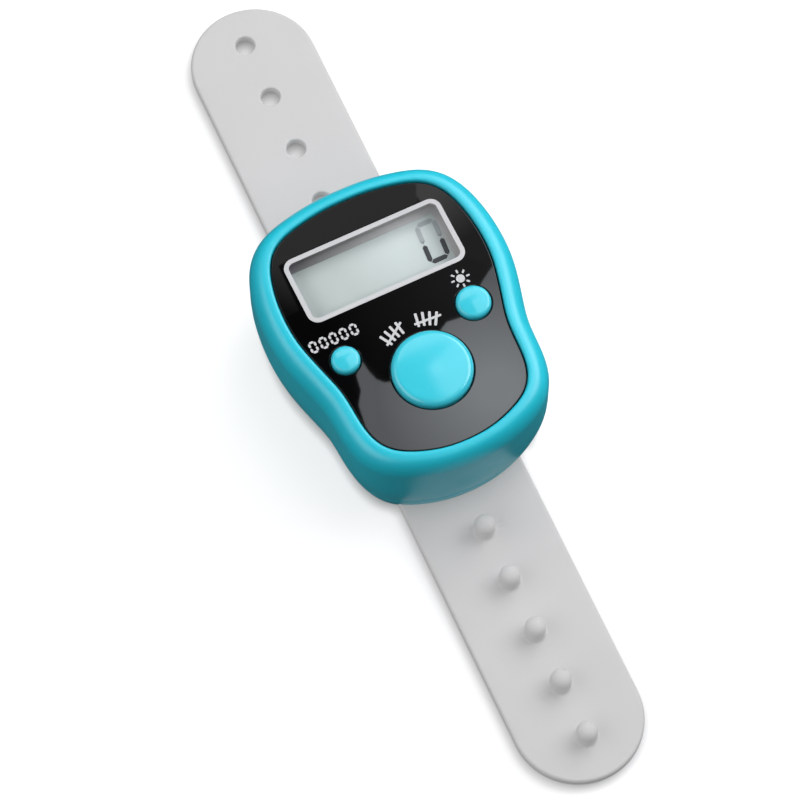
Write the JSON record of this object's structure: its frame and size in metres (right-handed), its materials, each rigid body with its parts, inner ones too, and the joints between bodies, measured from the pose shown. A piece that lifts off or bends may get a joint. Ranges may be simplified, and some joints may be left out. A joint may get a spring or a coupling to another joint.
{
  "type": "finger tally counter",
  "caption": "Finger tally counter: waisted oval case with a glossy face, display window and push buttons, on a flat strap with holes and studs.",
  "frame": {"origin": "under the middle of the laid-out strap, on the surface that the counter lies on", "axes": "+X to the right of the display, +Y along the strap towards the display's top edge, +Z out of the face"},
  "size_m": [0.0294, 0.1038, 0.0164],
  "materials": {
    "teal_plastic": "smooth moulded, satin gloss",
    "teal_button": "smooth moulded, satin gloss",
    "black_panel": "high gloss",
    "clear_window": "clear",
    "lcd_glass": "display glass with a matt polariser",
    "grey_silicone": "soft translucent silicone, satin",
    "screw_steel": "plated",
    "cell_steel": "smooth",
    "contact_nickel": "nickel plated",
    "board_laminate": "solder mask, satin",
    "black_resin": "matt moulded",
    "capacitor_ceramic": "matt ceramic",
    "plunger_nylon": "satin",
    "white_diffuser": "milky, satin",
    "led_resin": "cast resin",
    "zebra_rubber": "matt"
  },
  "bodies": {
    "case": {"front_shell": "teal_plastic", "back_cover": "teal_plastic", "battery_cover": "teal_plastic", "battery_cover_screw": "screw_steel", "case_screw_1": "screw_steel", "case_screw_2": "screw_steel", "case_screw_3": "screw_steel", "case_screw_4": "screw_steel", "face_panel": "black_panel", "display_window": "clear_window", "lcd_front_glass": "lcd_glass", "lcd_back_glass": "lcd_glass", "light_guide": "white_diffuser", "backlight_led": "led_resin", "zebra_strip": "zebra_rubber", "circuit_board": "board_laminate", "chip_blob": "black_resin", "resistor": "black_resin", "capacitor": "capacitor_ceramic", "count_switch": "black_resin", "reset_switch": "black_resin", "light_switch": "black_resin", "button_cell_lower": "cell_steel", "button_cell_upper": "cell_steel", "battery_contact_positive": "contact_nickel", "battery_contact_negative": "contact_nickel", "strap_middle": "grey_silicone"},
    "count_button": {"count_button": "teal_button", "count_switch_plunger": "plunger_nylon"},
    "reset_button": {"reset_button": "teal_button", "reset_switch_plunger": "plunger_nylon"},
    "light_button": {"light_button": "teal_button", "light_switch_plunger": "plunger_nylon"},
    "strap_upper_1": {"strap_upper_1": "grey_silicone"},
    "strap_upper_2": {"strap_upper_2": "grey_silicone"},
    "strap_upper_3": {"strap_upper_3": "grey_silicone"},
    "strap_upper_4": {"strap_upper_4": "grey_silicone"},
    "strap_lower_1": {"strap_lower_1": "grey_silicone"},
    "strap_lower_2": {"strap_lower_2": "grey_silicone"},
    "strap_lower_3": {"strap_lower_3": "grey_silicone"},
    "strap_lower_4": {"strap_lower_4": "grey_silicone"},
    "strap_lower_5": {"strap_lower_5": "grey_silicone"}
  },
  "joints": [
    {"name": "count_press", "type": "slide", "parent": "case", "child": "count_button", "axis": [0, 0, -1], "range_m": [0, 0.0004], "stiffness_N_per_m": 400, "springref_m": -0.002},
    {"name": "reset_press", "type": "slide", "parent": "case", "child": "reset_button", "axis": [0, 0, -1], "range_m": [0, 0.0004], "stiffness_N_per_m": 400, "springref_m": -0.002},
    {"name": "light_press", "type": "slide", "parent": "case", "child": "light_button", "axis": [0, 0, -1], "range_m": [0, 0.0004], "stiffness_N_per_m": 400, "springref_m": -0.002},
    {"name": "upper_bend_1", "type": "hinge", "parent": "case", "child": "strap_upper_1", "pos_m": [0.00022, 0.02139, 0.0008], "axis": [-0.9997, 0.0236, 0], "range_deg": [0, 32], "stiffness_Nm_per_rad": 0.003, "springref_deg": -8.59},
    {"name": "upper_bend_2", "type": "hinge", "parent": "strap_upper_1", "child": "strap_upper_2", "pos_m": [0.00039, 0.0286, 0.0008], "axis": [-0.9997, 0.0236, 0], "range_deg": [0, 32]},
    {"name": "upper_bend_3", "type": "hinge", "parent": "strap_upper_2", "child": "strap_upper_3", "pos_m": [0.00057, 0.03602, 0.0008], "axis": [-0.9997, 0.0236, 0], "range_deg": [0, 32]},
    {"name": "upper_bend_4", "type": "hinge", "parent": "strap_upper_3", "child": "strap_upper_4", "pos_m": [0.00074, 0.04344, 0.0008], "axis": [-0.9997, 0.0236, 0], "range_deg": [0, 32]},
    {"name": "lower_bend_1", "type": "hinge", "parent": "case", "child": "strap_lower_1", "pos_m": [-0.00069, -0.0172, 0.0008], "axis": [0.9997, -0.0236, 0], "range_deg": [0, 32], "stiffness_Nm_per_rad": 0.003, "springref_deg": -8.59},
    {"name": "lower_bend_2", "type": "hinge", "parent": "strap_lower_1", "child": "strap_lower_2", "pos_m": [-0.00083, -0.02343, 0.0008], "axis": [0.9997, -0.0236, 0], "range_deg": [0, 32]},
    {"name": "lower_bend_3", "type": "hinge", "parent": "strap_lower_2", "child": "strap_lower_3", "pos_m": [-0.00099, -0.03011, 0.0008], "axis": [0.9997, -0.0236, 0], "range_deg": [0, 32]},
    {"name": "lower_bend_4", "type": "hinge", "parent": "strap_lower_3", "child": "strap_lower_4", "pos_m": [-0.00115, -0.03679, 0.0008], "axis": [0.9997, -0.0236, 0], "range_deg": [0, 32]},
    {"name": "lower_bend_5", "type": "hinge", "parent": "strap_lower_4", "child": "strap_lower_5", "pos_m": [-0.0013, -0.04347, 0.0008], "axis": [0.9997, -0.0236, 0], "range_deg": [0, 32]}
  ],
  "couplings": [
    {"joint": "upper_bend_2", "follows": "upper_bend_1", "ratio": 1},
    {"joint": "upper_bend_3", "follows": "upper_bend_1", "ratio": 1},
    {"joint": "upper_bend_4", "follows": "upper_bend_1", "ratio": 1},
    {"joint": "lower_bend_2", "follows": "lower_bend_1", "ratio": 1},
    {"joint": "lower_bend_3", "follows": "lower_bend_1", "ratio": 1},
    {"joint": "lower_bend_4", "follows": "lower_bend_1", "ratio": 1},
    {"joint": "lower_bend_5", "follows": "lower_bend_1", "ratio": 1}
  ]
}
